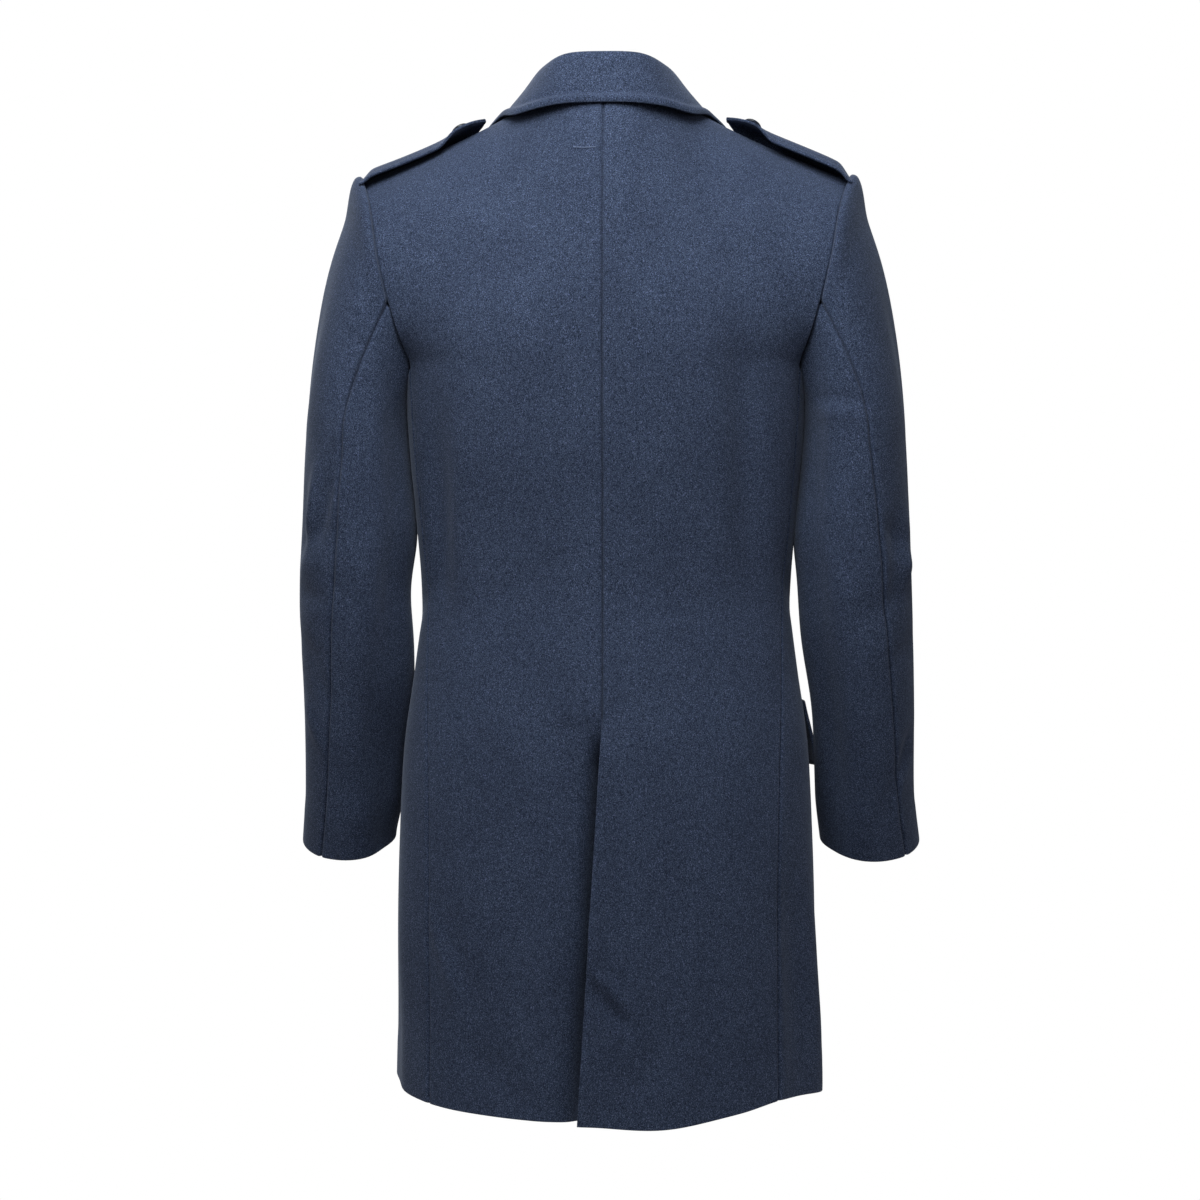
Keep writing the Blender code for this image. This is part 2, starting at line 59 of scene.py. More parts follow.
def srgb(code):
    """Linear colour of a hex code."""
    parts = [int(code[at : at + 2], 16) / 255 for at in (1, 3, 5)]
    return [c / 12.92 if c <= 0.04045 else ((c + 0.055) / 1.055) ** 2.4 for c in parts] + [1]


def add_node(tree, kind, inputs=None, **settings):
    """A node with its settings. An input takes a value, or another node's output to link."""
    node = tree.nodes.new(kind)
    for name, value in settings.items():
        setattr(node, name, value)
    for name, value in (inputs or {}).items():
        if isinstance(value, bpy.types.NodeSocket):
            tree.links.new(value, node.inputs[name])
        else:
            node.inputs[name].default_value = value
    return node


def finished(name, **inputs):
    """A material with one shader. An input's name is written with _ for a space."""
    material = bpy.data.materials.new(name)
    material.use_nodes = True
    tree = material.node_tree
    tree.nodes.clear()
    values = {key.replace("_", " "): value for key, value in inputs.items()}
    shader = add_node(tree, "ShaderNodeBsdfPrincipled", values)
    add_node(tree, "ShaderNodeOutputMaterial", {"Surface": shader.outputs[0]})
    return material, tree, shader


def made_of(name, form, *materials):
    """An object in the scene, of a bmesh that is then freed."""
    mesh = bpy.data.meshes.new(name)
    form.to_mesh(mesh)
    form.free()
    for material in materials:
        mesh.materials.append(material)
    made = bpy.data.objects.new(name, mesh)
    scene.collection.objects.link(made)
    return made


camera_data = bpy.data.cameras.new("camera")
camera_data.lens, camera_data.sensor_width = LENS, FILM
camera_data.shift_x = -COAT_OFF_MIDDLE
camera = bpy.data.objects.new("camera", camera_data)
aside = Vector((-math.sin(CAMERA_TURN), math.cos(CAMERA_TURN), 0))
camera.location = aside * CAMERA_AWAY + Vector((0, 0, CAMERA_HEIGHT))
camera.rotation_euler = (-aside).to_track_quat("-Z", "Y").to_euler()
scene.collection.objects.link(camera)
scene.camera = camera
scene.view_settings.view_transform = "Standard"

for name, place, aim, size, power, colour in (
    ("key_lamp", (0.12, 0.80, 0.66), (0, 0, -0.10), 0.9, 19.8, "#f3fcff"),
    ("left_lamp", (2.4, 0.9, 0.3), (0, 0, -0.3), 0.9, 6, "#ffffff"),
    ("right_lamp", (-2.4, 1.3, 0.3), (0, 0, -0.4), 0.9, 7, "#ffffff"),
    ("front_lamp", (0.6, -2.2, 1.5), (0, 0, -0.4), 2.0, 50, "#ffffff"),
):
    lamp_data = bpy.data.lights.new(name, "AREA")
    lamp_data.size, lamp_data.energy, lamp_data.color = size, power, srgb(colour)[:3]
    lamp = bpy.data.objects.new(name, lamp_data)
    lamp.location = place
    lamp.rotation_euler = (Vector(aim) - lamp.location).to_track_quat("-Z", "Y").to_euler()
    scene.collection.objects.link(lamp)

surround = bpy.data.worlds.new("white_surround")
surround.use_nodes = True
air = surround.node_tree
air.nodes.clear()
seen = add_node(air, "ShaderNodeLightPath").outputs["Is Camera Ray"]
dim = add_node(air, "ShaderNodeMapRange", {"Value": seen, "To Min": SURROUND_GLOW, "To Max": 1.0})
white = {"Color": srgb("#ffffff"), "Strength": dim.outputs[0]}
glow = add_node(air, "ShaderNodeBackground", white)
add_node(air, "ShaderNodeOutputWorld", {"Surface": glow.outputs[0]})
scene.world = surround

floor_form = bmesh.new()
bmesh.ops.create_circle(floor_form, cap_ends=True, segments=96, radius=FLOOR_SIZE / 2)
bmesh.ops.translate(floor_form, verts=floor_form.verts, vec=(0, 0, FLOOR_HEIGHT))
paint = finished("floor_paint", Base_Color=srgb("#f6f6f5"), Roughness=0.9)[0]
made_of("floor", floor_form, paint)


# The cloth: melton-finished wool twill, spun from navy, blue-grey and pale fibres and milled
# until the weave hardly shows. It looks dry and fuzzy, with a fine pepper of dark and pale
# specks that runs a little along the length, and it catches a soft bloom at grazing angles.
SPECK = (0.0006, 0.0006, 0.0011)  # size of the specks in metres, drawn half as coarse again
FLECK = (0.0022, 0.0022, 0.0060)  # uneven spinning, seen as faint streaks
CLOUD = (0.045, 0.045, 0.070)  # slow changes of shade from the milling
FIBRES = ((0.30, "#252d40"), (0.46, "#4c5978"), (0.56, "#5f6f92"), (0.72, "#a3afcd"))
LINING_THREAD = (0.0009, 0.0009, 0.006)  # some eight threads wide, or it would not show


def noise(tree, size, detail):
    """Noise through the cloth, whose lumps are this size along x, y and z in metres."""
    place = add_node(tree, "ShaderNodeTexCoord").outputs["Object"]
    scaled = add_node(
        tree, "ShaderNodeMapping", {"Vector": place, "Scale": [1 / extent for extent in size]}
    )
    inputs = {"Vector": scaled.outputs[0], "Scale": 1.0, "Detail": detail, "Roughness": 0.5}
    return add_node(tree, "ShaderNodeTexNoise", inputs).outputs["Fac"]


def ramp(tree, value, *stops):
    made = add_node(tree, "ShaderNodeValToRGB", {"Fac": value})
    while len(made.color_ramp.elements) < len(stops):
        made.color_ramp.elements.new(1)
    for element, (at, code) in zip(made.color_ramp.elements, stops):
        element.position, element.color = at, srgb(code)
    return made.outputs["Color"]


def blend(tree, kind, base, over):
    """One colour over another."""
    inputs = {"Factor": 1.0, "A": base, "B": over}
    mixed = add_node(tree, "ShaderNodeMix", inputs, data_type="RGBA", blend_type=kind)
    return mixed.outputs["Result"]


def wool_twill():
    material, tree, shader = finished(
        "melton_wool_twill",
        Roughness=0.92,
        IOR=1.45,
        Specular_IOR_Level=0.22,
        Sheen_Weight=0.22,
        Sheen_Roughness=0.42,
        Sheen_Tint=srgb("#c3cbe0"),
    )
    speck, fleck, cloud = noise(tree, SPECK, 1.5), noise(tree, FLECK, 1.0), noise(tree, CLOUD, 2.0)
    spun = ramp(tree, speck, *FIBRES)
    pale = ramp(tree, fleck, (0.35, "#797979"), (0.65, "#868686"))
    shade = ramp(tree, cloud, (0.30, "#ececee"), (0.70, "#ffffff"))
    colour = blend(tree, "MULTIPLY", blend(tree, "OVERLAY", spun, pale), shade)
    tree.links.new(colour, shader.inputs["Base Color"])
    bump = add_node(tree, "ShaderNodeBump", {"Height": speck, "Distance": 0.0003, "Strength": 0.5})
    tree.links.new(bump.outputs["Normal"], shader.inputs["Normal"])
    return material


def cupro_lining():
    """Cupro lining, smooth and faintly shining, slate blue: it shows inside the neck and hem."""
    material, tree, shader = finished(
        "cupro_lining", Roughness=0.42, IOR=1.45, Specular_IOR_Level=0.4, Sheen_Weight=0.1
    )
    thread = noise(tree, LINING_THREAD, 1.0)
    colour = ramp(tree, thread, (0.3, "#262c3b"), (0.7, "#323a4d"))
    tree.links.new(colour, shader.inputs["Base Color"])
    bump = add_node(tree, "ShaderNodeBump", {"Height": thread, "Distance": 0.0001, "Strength": 0.3})
    tree.links.new(bump.outputs["Normal"], shader.inputs["Normal"])
    return material


WOOL, LINING = wool_twill(), cupro_lining()


# The body: backs, sides and fronts sewn into one hollow shell, of wool with its lining.
# Each level of it is a rounded section. The seam columns are angles round it in degrees, 0 at
# the centre back, 90 at the side and 180 at the centre front.
WALL, DOUBLE_WALL = 0.0024, 0.0032
LEFT, RIGHT = 1, -1
SIDES = ((LEFT, "left"), (RIGHT, "right"))
JOIN = -0.262  # height where the side seams meet the armhole
EDGE_ROWS = (0, 0.0009, 0.0024, 0.0042, 0.0060, 0.0078)  # metres in from each edge
SEAM_ROLL, SEAM_ROLL_WIDTH = 0.0044, 0.0015  # how a sewn edge turns in
SEAM_TUCK = 0.004  # share of its width by which a piece goes on past its seam


def table(columns, *rows):
    """A short table with named columns, as one tuple for each column."""
    return dict(zip(columns.split(), zip(*rows)))


BODY = table(
    "height half_width back front squareness back_seam front_seam",
    (-1.000, 0.2120, 0.150, 0.150, 2.30, 50, 116),  # hem
    (-0.860, 0.2090, 0.144, 0.146, 2.30, 51, 116),  # thigh
    (-0.740, 0.2070, 0.136, 0.140, 2.30, 52, 115),  # seat
    (-0.640, 0.2020, 0.126, 0.132, 2.30, 55, 114),  # hip
    (-0.560, 0.1905, 0.114, 0.124, 2.30, 62, 113),  # pocket
    (-0.495, 0.1840, 0.106, 0.119, 2.30, 68, 112),  # waist
    (-0.420, 0.1890, 0.110, 0.122, 2.35, 69, 111),  # ribs
    (-0.340, 0.1965, 0.120, 0.129, 2.40, 68, 110),  # chest
    (-0.240, 0.2030, 0.127, 0.133, 2.40, 67, 110),  # armpit
)
FOLDS = (  # large soft troughs (depth under 0), ridges: angle height half_angle half_height depth
    (56, -0.400, 7, 0.110, -0.0040),  # blade to waist, left
    (-43, -0.350, 7, 0.150, -0.0045),  # blade to waist, right
    (66, -0.900, 9, 0.150, 0.0060),  # flare of the left side
    (-70, -0.910, 9, 0.170, 0.0070),  # flare of the right side
    (33, -0.930, 8, 0.130, -0.0035),  # skirt, left of the vent
    (-30, -0.900, 9, 0.150, -0.0040),  # skirt, right of the vent
    (0, -0.330, 9, 0.170, -0.0030),  # hollow between the blades
)
HEM = {  # height in mm
    "angle": (-180, -90, -52, -38, -20, 0, 14, 36, 55, 90, 180),
    "height": (-986, -980, -977, -986, -998, -994, -992, -987, -980, -969, -985),
}


def in_mm(*rows):
    """Rows of sizes in metres, from millimetres."""
    return [[value / 1000 for value in row] for row in rows]


CREASES = {  # lines of troughs and ridges, seen from each way: x1 z1 x2 z2 half_width depth
    "back": in_mm(
        (163, -290, 158, -500, 14, -5),
        (138, -330, 146, -480, 10, 2),
        (-126, -200, -150, -500, 15, -4.6),
        (-98, -240, -120, -430, 13, 2),
        (160, -100, 100, -142, 18, 2.8),
        (-168, -110, -120, -150, 20, 2),
        (164, -805, 138, -888, 6, 4.6),
        (150, -800, 128, -880, 9, -2.6),
        (18, -800, 4, -852, 7, 3.4),
        (8, -846, -24, -886, 5, 6),
        (10, -862, -26, -904, 7, -5),
        (-60, -915, -20, -975, 16, -3),
        (120, -930, 60, -985, 16, -3),
        (60, -640, 85, -980, 22, -3.6),
        (-60, -700, -70, -990, 24, -3.6),
        (-110, -720, -120, -970, 20, 2.8),
        (45, -460, 110, -500, 15, -1.2),
        (-40, -475, -110, -510, 14, -1.2),
    ),
    "left": in_mm(
        (50, -860, 40, -1080, 45, -6.5),
        (20, -640, 45, -980, 16, -2),
        (-20, -700, -30, -985, 14, 2.6),
        (-55, -690, -48, -960, 12, -2.2),
        (60, -470, 0, -520, 10, -1.8),
    ),
    "right": in_mm(
        (12, -650, 30, -960, 15, -2.6),
        (-26, -720, -22, -985, 13, 2.4),
        (76, -770, 72, -995, 12, -8.5),
        (50, -800, 44, -985, 12, 4),
        (40, -880, 36, -1000, 10, 3.6),
        (-60, -700, -56, -970, 13, -2.6),
        (52, -465, -6, -512, 11, -1.6),
    ),
    "front": in_mm(
        (165, -220, 130, -400, 14, -3.3),
        (-168, -210, -135, -390, 15, -3.6),
        (120, -500, 40, -470, 14, -2.1),
        (-120, -505, -30, -480, 13, -2.1),
        (110, -700, 125, -980, 20, -4.5),
        (70, -760, 75, -985, 18, 2.4),
        (-115, -690, -120, -975, 21, -4.2),
        (20, -640, 15, -960, 22, -2.1),
    ),
}
HEM_BACK_SEAM, HEM_FRONT_SEAM = BODY["back_seam"][0], BODY["front_seam"][0]


def mix(first, last, share):
    return first + (last - first) * share


def ease(value, start, end):
    """0 before start, 1 after end, and a soft step between them."""
    share = min(max((value - start) / (end - start), 0), 1)
    return share * share * (3 - 2 * share)


def swell(value, middle, half_width):
    """1 at the middle, fading to 0 on both sides."""
    return math.exp(-(((value - middle) / half_width) ** 2))


def bend(first, leave, last, arrive, share):
    """A curve from first to last that sets out along leave and comes in along arrive."""
    near = (1 + 2 * share) * (1 - share) ** 2
    far = share * share * (3 - 2 * share)
    out = share * (1 - share) ** 2
    back_in = share * share * (share - 1)
    return first * near + last * far + leave * out + arrive * back_in


def through(points, share):
    """A smooth curve through evenly spaced points."""
    at = min(max(share, 0), 1) * (len(points) - 1)
    index = min(int(at), len(points) - 2)
    before, after = max(index - 1, 0), min(index + 2, len(points) - 1)
    leave = (points[index + 1] - points[before]) / (index + 1 - before)
    arrive = (points[after] - points[index]) / (after - index)
    return bend(points[index], leave, points[index + 1], arrive, at - index)


def level(rows, column, at):
    """A column's value where the table's first column, which goes up, is at: a smooth curve."""
    steps, values = next(iter(rows.values())), rows[column]
    at = min(max(at, steps[0]), steps[-1])
    index = max(i for i in range(len(steps) - 1) if steps[i] <= at)
    before, after = max(index - 1, 0), min(index + 2, len(steps) - 1)
    span = steps[index + 1] - steps[index]
    leave = (values[index + 1] - values[before]) / (steps[index + 1] - steps[before]) * span
    arrive = (values[after] - values[index]) / (steps[after] - steps[index]) * span
    return bend(values[index], leave, values[index + 1], arrive, (at - steps[index]) / span)


def body(angle, height):
    """Point on the outside of the body at an angle round it."""
    turn = math.radians(angle)
    sine, cosine = math.sin(turn), math.cos(turn)
    power = level(BODY, "squareness", height)
    reach = (abs(sine) ** power + abs(cosine) ** power) ** (-1 / power)
    depth = level(BODY, "back" if cosine > 0 else "front", height)
    point = Vector((level(BODY, "half_width", height) * reach * sine, depth * reach * cosine))
    fold = 0
    for at, tall, half_angle, half_height, deep in FOLDS:
        away = ((angle - at) / half_angle) ** 2 + ((height - tall) / half_height) ** 2
        fold += deep * math.exp(-away)
    point *= 1 + fold / point.length
    return Vector((point.x, point.y, height))


def hem(angle):
    """Height of the hem at an angle round the body."""
    return level(HEM, "height", angle) / 1000


def angle_at(reach, height):
    """Degrees round the body from the centre line to a point this far to its side."""
    return math.degrees(math.asin(reach / level(BODY, "half_width", height)))


def rising(angle, height):
    """Way up the cloth at a point of the body."""
    step = 0.01
    return (body(angle, height + step) - body(angle, height - step)) / (2 * step)


def mirrored(point, side):
    return Vector((point[0] * side, point[1], point[2]))


def creases(point, normal, seen_from, lines):
    """Rise of the cloth from its creases, drawn as lines seen from the back, front or a side.

    A line fades towards both ends, and round the edge of what is seen."""
    across = point.y if seen_from in ("left", "right") else point.x
    facing = {"back": normal.y, "front": -normal.y, "left": normal.x, "right": -normal.x}
    shown = ease(facing[seen_from], 0.05, 0.5)
    if shown == 0:
        return 0
    rise = 0
    for x1, z1, x2, z2, half_width, depth in lines:
        if abs(point.z - (z1 + z2) / 2) > abs(z1 - z2) / 2 + 3 * half_width:
            continue
        run, drop = x2 - x1, z2 - z1
        length = math.hypot(run, drop)
        along = ((across - x1) * run + (point.z - z1) * drop) / length**2
        off = ((across - x1) * drop - (point.z - z1) * run) / length
        beyond = (abs(along - 0.5) * 2) ** 3
        if beyond < 8:
            rise += depth * math.exp(-((off / half_width) ** 2) - beyond)
    return rise * shown


def body_creases(point, normal):
    return sum(creases(point, normal, way, lines) for way, lines in CREASES.items())


def crowded(share, count, length):
    """Place of a row of the cloth, as a share of its length. Rows stand close by both edges."""
    row = round(share * count)
    near = min(row, count - row)
    last = len(EDGE_ROWS) - 1
    if near <= last:
        place = EDGE_ROWS[near] / length
    else:
        place = mix(EDGE_ROWS[last] / length, 0.5, (near - last) / (count / 2 - last))
    return place if row <= count / 2 else 1 - place


def from_edge(share, length):
    """Metres from the nearer end of a length."""
    return min(share, 1 - share) * length


def cloth(node, surface, size, spacing, side, relief, wall=WALL, inside=None, eased=None):
    """The shell of one cut piece: surface(across, up, side) with its relief, and a wall inwards.

    size is the piece's width and length in metres, and spacing that of its rows. Where eased
    says so of a point, the cloth is smoothed, as wool is shrunk into shape with an iron."""
    width, length = size
    columns, rows = (2 * max(round(extent / spacing / 2), 6) for extent in size)
    form = bmesh.new()
    bmesh.ops.create_grid(form, x_segments=columns, y_segments=rows, size=0.5)
    places = {}
    for vert in form.verts:
        across = crowded(vert.co.x + 0.5, columns, width)
        up = crowded(vert.co.y + 0.5, rows, length)
        places[vert] = across, up
        vert.co = surface(across, up, side)
    if side == RIGHT:
        bmesh.ops.reverse_faces(form, faces=form.faces)
    if eased:
        pressed = [vert for vert in form.verts if eased(vert.co) and not vert.is_boundary]
        for _ in range(30):
            bmesh.ops.smooth_vert(
                form, verts=pressed, factor=0.5, use_axis_x=True, use_axis_y=True, use_axis_z=True
            )
    form.normal_update()
    raised = {
        vert: vert.co + vert.normal * relief(vert.co, vert.normal, *place)
        for vert, place in places.items()
    }
    for vert, place in raised.items():
        vert.co = place
    piece = made_of(f"wool_{node}", form, WOOL, inside or WOOL)
    piece.data.shade_smooth()
    thick = piece.modifiers.new("wall", "SOLIDIFY")
    thick.thickness, thick.offset, thick.material_offset = wall, -1, 1
    soft = piece.modifiers.new("soft", "SUBSURF")
    soft.levels = soft.render_levels = 1
    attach(piece, "root")
    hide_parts(node)
    return piece


# The two backs, cut in wool and joined by the centre-back seam. Below the seat the seam opens
# into a vent, where the right back laps over the left one, more and more towards the hem.
# The cloth falls from the shoulder blades in soft folds, and the hem is turned up inside.
NAPE = Vector((0, 0.078, 0))
NECK = Vector((0.082, 0.002, -0.003))  # side of the neck, where the shoulder seam begins
SHOULDER = Vector((0.244, 0.010, -0.077))  # end of the shoulder seam
NECK_SHARE = 3 / 8  # of the back's top edge, from the nape to the side of the neck
ARMHOLE = {  # the edge's way down from the shoulder
    "back_seam": in_mm((231, 55, -112), (220.5, 79, -165), (205, 75, -226)),
    "front_seam": in_mm((229, -40, -112), (208, -68, -170), (196, -72, -228)),
}
VENT_TOP = -0.615
VENT_SPREAD, VENT_UNDER = 0.022, 0.040  # reach of the right back and of the left one under it
VENT_DEPTH = 0.024  # how far the left back turns in behind the vent's edge
VENT_LIFT = 0.0042  # how far the right back's edge stands off it
BACK_SIZE, BACK_ROWS = (0.235, 1.010), 0.0062  # width and length, spacing of rows
NECK_GAP = 0.0006  # left free on both sides of the neck seam
BACK_TIP = 1 - NECK_GAP / BACK_SIZE[1]  # share of the length at the neck
LAYER = WALL + 0.0016  # how far a lapped layer lies under the one over it
LOWER_SHARE = 0.735  # of a back's or front's length, below JOIN
CARRY_ON = 0.22  # metres that a back or front would go straight on above JOIN
TACK_REACH, TACK_RISE, TACK_THREAD = (0.021, 0.089), 1.752, 0.00032  # on the left back


def shoulder_seam(share, side):
    """Point of the shoulder seam, from the neck at 0 to the shoulder point at 1."""
    point = NECK.lerp(SHOULDER, share)
    point.z -= 0.004 * math.sin(math.pi * share)
    return mirrored(point, side)


def back_top(share, side):
    """Point of the back's top edge: half the back neck, then the shoulder seam."""
    if share > NECK_SHARE:
        return shoulder_seam((share - NECK_SHARE) / (1 - NECK_SHARE), side)
    turn = share / NECK_SHARE * math.pi / 2
    deep = mix(NECK.y, NAPE.y, math.cos(turn))
    return Vector((NECK.x * math.sin(turn) * side, deep, mix(NAPE.z, NECK.z, 1 - math.cos(turn))))


def armhole_edge(seam, share, side):
    """Point of the armhole's edge over a side seam, at share 0, up to the shoulder, at 1."""
    foot = body(side * level(BODY, seam, JOIN), JOIN)
    way = [mirrored(point, side) for point in (SHOULDER, *ARMHOLE[seam])]
    return through([*way, foot], 1 - share)


def vent_reach(side, height):
    """Degrees that a back reaches past the centre in the vent."""
    if side == RIGHT:
        return angle_at(VENT_SPREAD * max(VENT_TOP - height, 0) / (VENT_TOP - hem(0)), height)
    return angle_at(VENT_UNDER * ease(VENT_TOP - height, -0.005, 0.03), height)


def back_panel(share, rise, side):
    """Back: share 0 at the centre back, 1 at the side; rise 0 at the hem, 1 at JOIN, 2 on top."""
    if rise <= 1:
        height = mix(hem(side * share * HEM_BACK_SEAM), JOIN, rise)
        start = -vent_reach(side, height)
        return body(side * mix(start, level(BODY, "back_seam", height), share), height)

    def column(share, rise):
        angle = side * share * level(BODY, "back_seam", JOIN)
        over = ease(share, 0.05, NECK_SHARE)
        arrive = Vector((0, mix(-0.10, -0.16, over), mix(0.20, 0.02, over)))
        foot, top = body(angle, JOIN), back_top(share, side)
        return bend(foot, rising(angle, JOIN) * CARRY_ON, top, arrive, rise)

    edge = armhole_edge("back_seam", rise - 1, side)
    return column(share, rise - 1) + (edge - column(1, rise - 1)) * max(share, 0) ** 2.5


def rise_of(up):
    """Rise of a back or front at a share of its length."""
    return up / LOWER_SHARE if up < LOWER_SHARE else 1 + (up - LOWER_SHARE) / (1 - LOWER_SHARE)


def sunk_back(point, side):
    """Depth of the left back's lap under the right back."""
    if side == RIGHT:
        return 0
    below = ease(VENT_TOP - point.z, -0.012, 0.004)
    return LAYER * below * (1 - ease(point.x, 0.03, 0.06))


def sewn(across):
    """Share of a piece from its other edge, going on past both seams."""
    return 1 - mix(-SEAM_TUCK, 1 + SEAM_TUCK, across)


def rolled_seam(metres):
    """Rise of the cloth by a sewn edge, which turns in to the seam."""
    return -SEAM_ROLL * swell(metres, 0, SEAM_ROLL_WIDTH)


def pressed_hem(metres, point):
    """Rise of the cloth over a turned-up hem: a thicker band, and a lip that is not quite even."""
    wave = math.sin(point.x * 55 + point.y * 40) * math.sin(point.x * 23 + 1)
    return 0.0005 * (1 - ease(metres, 0.038, 0.046)) + 0.0011 * wave * (1 - ease(metres, 0, 0.05))


def rod(form, segments, radius, length, place):
    size = {"radius1": radius, "radius2": radius, "depth": length}
    bmesh.ops.create_cone(form, cap_ends=True, segments=segments, matrix=place, **size)


def hard_piece(name, form, material, place):
    """A piece of one material, turned outwards and moved to its place."""
    bmesh.ops.recalc_face_normals(form, faces=form.faces)
    bmesh.ops.transform(form, matrix=place, verts=form.verts)
    piece = made_of(name, form, material)
    piece.data.shade_smooth()
    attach(piece, "root")
    return piece


def make_tack():
    """A pale tacking thread, left in the wearer's left back under the collar."""
    form = bmesh.new()
    out = Vector((0, 0.0008, 0.0003))
    for step in range(6):
        ends = (mix(*TACK_REACH, (step + end) / 6) for end in (0, 1))
        first, last = (back_panel(share, TACK_RISE, LEFT) + out for share in ends)
        turned = (last - first).to_track_quat("Z", "Y").to_matrix().to_4x4()
        place = Matrix.Translation((first + last) / 2) @ turned
        rod(form, 8, TACK_THREAD, (last - first).length, place)
    cotton = finished("pale_cotton_thread", Base_Color=srgb("#7f8cab"), Roughness=0.8)[0]
    hard_piece("thread_tack", form, cotton, Matrix())


def make_back(side, name):
    size = BACK_SIZE

    def surface(across, up, side):
        return back_panel(sewn(across), rise_of(min(up, BACK_TIP)), side)

    def relief(point, normal, across, up):
        rise = body_creases(point, normal)
        rise += rolled_seam((1 - up) * size[1]) + rolled_seam(across * size[0])
        seam = point.z > VENT_TOP
        edge = (1 - across) * size[0]
        rise += rolled_seam(edge) if seam else 0.0006 * swell(edge, 0.006, 0.008)
        opened = ease(VENT_TOP - point.z, 0.002, 0.045)
        if side == RIGHT:
            rise += VENT_LIFT * opened * swell(edge, 0, 0.018) * (1 + 0.4 * math.sin(point.z * 38))
        else:
            edge = VENT_SPREAD * (VENT_TOP - point.z) / (VENT_TOP - hem(0))
            rise -= VENT_DEPTH * opened * (1 - ease(point.x - edge, -0.005, 0.012))
            rise -= VENT_DEPTH * 0.35 * opened * (1 - ease(point.x - edge, -0.010, 0.045))
        return rise + pressed_hem(up * size[1], point) - sunk_back(point, side)

    def under_collar(point):
        return 0.035 < abs(point.x) < 0.150 and point.z > -0.190

    piece = cloth(
        f"back_{name}", surface, size, BACK_ROWS, side, relief, inside=LINING, eased=under_collar
    )


for side, name in SIDES:
    make_back(side, name)
make_tack()


# The side panels, one under each arm, from the armhole to the hem.
# Deeper folds run down them, where the skirt flares over the hips.
ARM_DIP = 0.026  # further drop of the armhole under the arm
SIDE_SIZE, SIDE_ROWS, SIDE_TIP = (0.165, 0.705), 0.0085, 0.9995


def side_panel(share, rise, side):
    """Side: share 0 at its back seam, 1 at its front seam; rise 0 at the hem, 1 at the armhole."""
    top = JOIN - ARM_DIP * max(math.sin(math.pi * share), 0) ** 0.8
    height = mix(hem(side * mix(HEM_BACK_SEAM, HEM_FRONT_SEAM, share)), top, rise)
    start, end = level(BODY, "back_seam", height), level(BODY, "front_seam", height)
    return body(side * mix(start, end, share), height)


def make_side(side, name):
    size = SIDE_SIZE

    def surface(across, up, side):
        return side_panel(sewn(across), up * SIDE_TIP, side)

    def relief(point, normal, across, up):
        rise = body_creases(point, normal)
        rise += rolled_seam(from_edge(across, size[0])) + rolled_seam((1 - up) * size[1])
        return rise + pressed_hem(up * size[1], point)

    piece = cloth(f"side_{name}", surface, size, SIDE_ROWS, side, relief, inside=LINING)


for side, name in SIDES:
    make_side(side, name)


# The fronts, which lap over each other by a hand's breadth, the left one on top. Above the
# break each turns back along its roll line. The free edges are stitched 6 mm in.
BREAK = -0.285  # height where the lapels begin to turn
OVERLAP = 0.095  # reach of each front past the centre
LAPEL_LAYER = WALL + 0.0030  # depth of the right front's lap where the fronts cross
ROLL_LINE = in_mm(  # a lapel's fold, from the break to the side of the neck
    (-56, -132.8, -238),
    (-12, -133.2, -186),
    (30, -119, -120),
    (61, -83, -60),
    (76.5, -42, -22),
)
STITCH_IN, STITCH_DEPTH = 0.006, 0.0005
FRONT_SIZE, FRONT_ROWS = (0.325, 1.010), 0.0090
FRONT_TIP = 1 - NECK_GAP / FRONT_SIZE[1]


def front_edge(height):
    """Angle of a front's free edge, past the centre front."""
    return 180 + angle_at(OVERLAP, height)


def front_panel(share, rise, side):
    """Front: share 0 at the side, 1 at the free edge and roll line; rise as on the back."""
    if rise <= 1:
        height = mix(hem(side * mix(HEM_FRONT_SEAM, 180, share)), mix(JOIN, BREAK, share), rise)
        start = level(BODY, "front_seam", height)
        return body(side * mix(start, front_edge(height), share), height)

    def column(share, rise):
        base = mix(JOIN, BREAK, share)
        angle = side * mix(level(BODY, "front_seam", base), front_edge(base), share)
        arrive = Vector((0, 0.15, 0.02))
        foot, top = body(angle, base), shoulder_seam(1 - share, side)
        return bend(foot, rising(angle, base) * CARRY_ON, top, arrive, rise)

    def roll_line(rise):
        start = body(front_edge(BREAK), BREAK)
        return through([mirrored(point, side) for point in (start, *ROLL_LINE, NECK)], rise)

    edge, point = armhole_edge("front_seam", rise - 1, side), column(share, rise - 1)
    point += (edge - column(0, rise - 1)) * max(1 - share, 0) ** 2.5
    return point + (roll_line(rise - 1) - column(1, rise - 1)) * share**2


def sunk_front(point, side):
    """Depth of the right front's lap under the left front."""
    if side == LEFT:
        return 0
    deep = mix(LAYER, LAPEL_LAYER, ease(point.z, -0.40, -0.33))
    return deep * ease(point.x, -0.135, -0.105) * (1 - ease(point.z, -0.12, -0.07))


def stitched_edge(metres, inset, depth=STITCH_DEPTH):
    """Rise of a free edge that is stitched through: a groove, and a puffed lip outside it."""
    groove = -depth * swell(metres, inset, 0.0016)
    return groove + depth * 0.8 * swell(metres, inset * 0.42, inset * 0.36)


